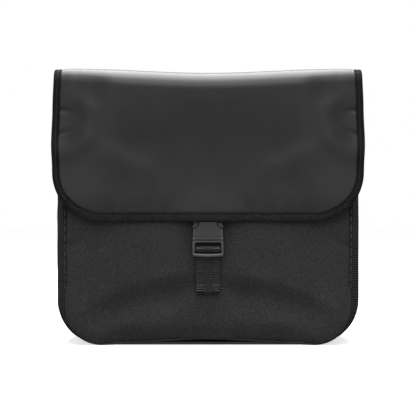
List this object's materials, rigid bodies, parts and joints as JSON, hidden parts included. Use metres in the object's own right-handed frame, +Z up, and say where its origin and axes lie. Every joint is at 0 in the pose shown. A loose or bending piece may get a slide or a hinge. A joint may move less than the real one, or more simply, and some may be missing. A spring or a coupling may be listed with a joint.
{
  "type": "bicycle pannier bag",
  "caption": "Box-shaped pannier bag with a deep flap, a webbing strap with a squeeze buckle, and sliding latched rack hooks on its stiff back.",
  "frame": {"origin": "centre of the base face, on the underside of the gusset", "axes": "+X to the right as seen from the front, +Y towards the bicycle, +Z up"},
  "size_m": [0.313, 0.1663, 0.2788],
  "materials": {
    "tarpaulin": "satin coated tarpaulin with a fine cloth backing",
    "tape": "herringbone woven binding tape",
    "twill": "matt black twill",
    "webbing": "ribbed polyester webbing",
    "stiffener": "black polyethylene board",
    "buckle": "fine-grained moulded acetal",
    "rail": "black anodised extrusion",
    "hook_plastic": "moulded glass-filled nylon",
    "steel": "zinc-plated steel"
  },
  "bodies": {
    "bag": {"front_panel": "twill", "gusset": "twill", "front_seam_welt": "tape", "mouth_tape": "tape", "back_lining": "twill", "back_board": "stiffener", "back_panel": "twill", "back_seam_tape": "tape", "base_board": "stiffener", "closure_strap": "webbing", "hook_rail": "rail", "rail_end_cap_left": "hook_plastic", "rail_end_cap_right": "hook_plastic", "lower_rail": "rail", "sway_bolt": "steel", "sway_washer": "steel", "sway_nut": "steel", "rail_outer_left_screw": "steel", "rail_outer_left_washer": "steel", "rail_outer_left_nut": "steel", "rail_inner_left_screw": "steel", "rail_inner_left_washer": "steel", "rail_inner_left_nut": "steel", "rail_inner_right_screw": "steel", "rail_inner_right_washer": "steel", "rail_inner_right_nut": "steel", "rail_outer_right_screw": "steel", "rail_outer_right_washer": "steel", "rail_outer_right_nut": "steel", "lower_left_screw": "steel", "lower_left_washer": "steel", "lower_left_nut": "steel", "lower_right_screw": "steel", "lower_right_washer": "steel", "lower_right_nut": "steel"},
    "flap_lid": {"flap_top": "tarpaulin", "flap_top_tape_left": "tape", "flap_top_tape_right": "tape", "flap_hem": "tape"},
    "flap_apron": {"flap_front": "tarpaulin", "flap_front_tape": "tape", "flap_tab": "webbing", "buckle_female": "buckle"},
    "strap_ladder": {"buckle_male": "buckle"},
    "squeeze_left": {"prong_left": "buckle"},
    "squeeze_right": {"prong_right": "buckle"},
    "sway": {"sway_hook": "hook_plastic"},
    "carrier_left": {"hook_left": "hook_plastic", "latch_pin_left": "steel", "latch_spring_left": "steel", "lock_screw_left": "steel"},
    "catch_left": {"latch_left": "hook_plastic"},
    "carrier_right": {"hook_right": "hook_plastic", "latch_pin_right": "steel", "latch_spring_right": "steel", "lock_screw_right": "steel"},
    "catch_right": {"latch_right": "hook_plastic"}
  },
  "joints": [
    {"name": "flap_lift", "type": "hinge", "parent": "bag", "child": "flap_lid", "pos_m": [0, 0.0616, 0.2763], "axis": [-1, 0, 0], "range_deg": [0, 120]},
    {"name": "flap_fold", "type": "hinge", "parent": "flap_lid", "child": "flap_apron", "pos_m": [0, -0.06512, 0.27392], "axis": [-1, 0, 0], "range_deg": [0, 90]},
    {"name": "strap_adjust", "type": "slide", "parent": "bag", "child": "strap_ladder", "axis": [0, 0, -1], "range_m": [0, 0.016], "deforming": ["closure_strap"]},
    {"name": "sway_turn", "type": "hinge", "parent": "bag", "child": "sway", "pos_m": [0, 0.0669, 0.07], "axis": [0, 1, 0], "range_deg": [-60, 60]},
    {"name": "squeeze_left", "type": "hinge", "parent": "strap_ladder", "child": "squeeze_left", "pos_m": [-0.00875, -0.0667, 0.107], "axis": [0, 1, 0], "range_deg": [0, 7], "stiffness_Nm_per_rad": 0.5, "deforming": ["prong_left"]},
    {"name": "hook_slide_left", "type": "slide", "parent": "bag", "child": "carrier_left", "axis": [1, 0, 0], "range_m": [-0.022, 0.04]},
    {"name": "latch_turn_left", "type": "hinge", "parent": "carrier_left", "child": "catch_left", "pos_m": [-0.085, 0.0795, 0.2195], "axis": [-1, 0, 0], "range_deg": [0, 60], "stiffness_Nm_per_rad": 0.0008, "springref_deg": -8.59},
    {"name": "squeeze_right", "type": "hinge", "parent": "strap_ladder", "child": "squeeze_right", "pos_m": [0.00875, -0.0667, 0.107], "axis": [0, -1, 0], "range_deg": [0, 7], "stiffness_Nm_per_rad": 0.5, "deforming": ["prong_right"]},
    {"name": "hook_slide_right", "type": "slide", "parent": "bag", "child": "carrier_right", "axis": [-1, 0, 0], "range_m": [-0.022, 0.04]},
    {"name": "latch_turn_right", "type": "hinge", "parent": "carrier_right", "child": "catch_right", "pos_m": [0.085, 0.0795, 0.2195], "axis": [-1, 0, 0], "range_deg": [0, 60], "stiffness_Nm_per_rad": 0.0008, "springref_deg": -8.59}
  ],
  "couplings": [
    {"joint": "squeeze_right", "follows": "squeeze_left", "ratio": 1}
  ]
}
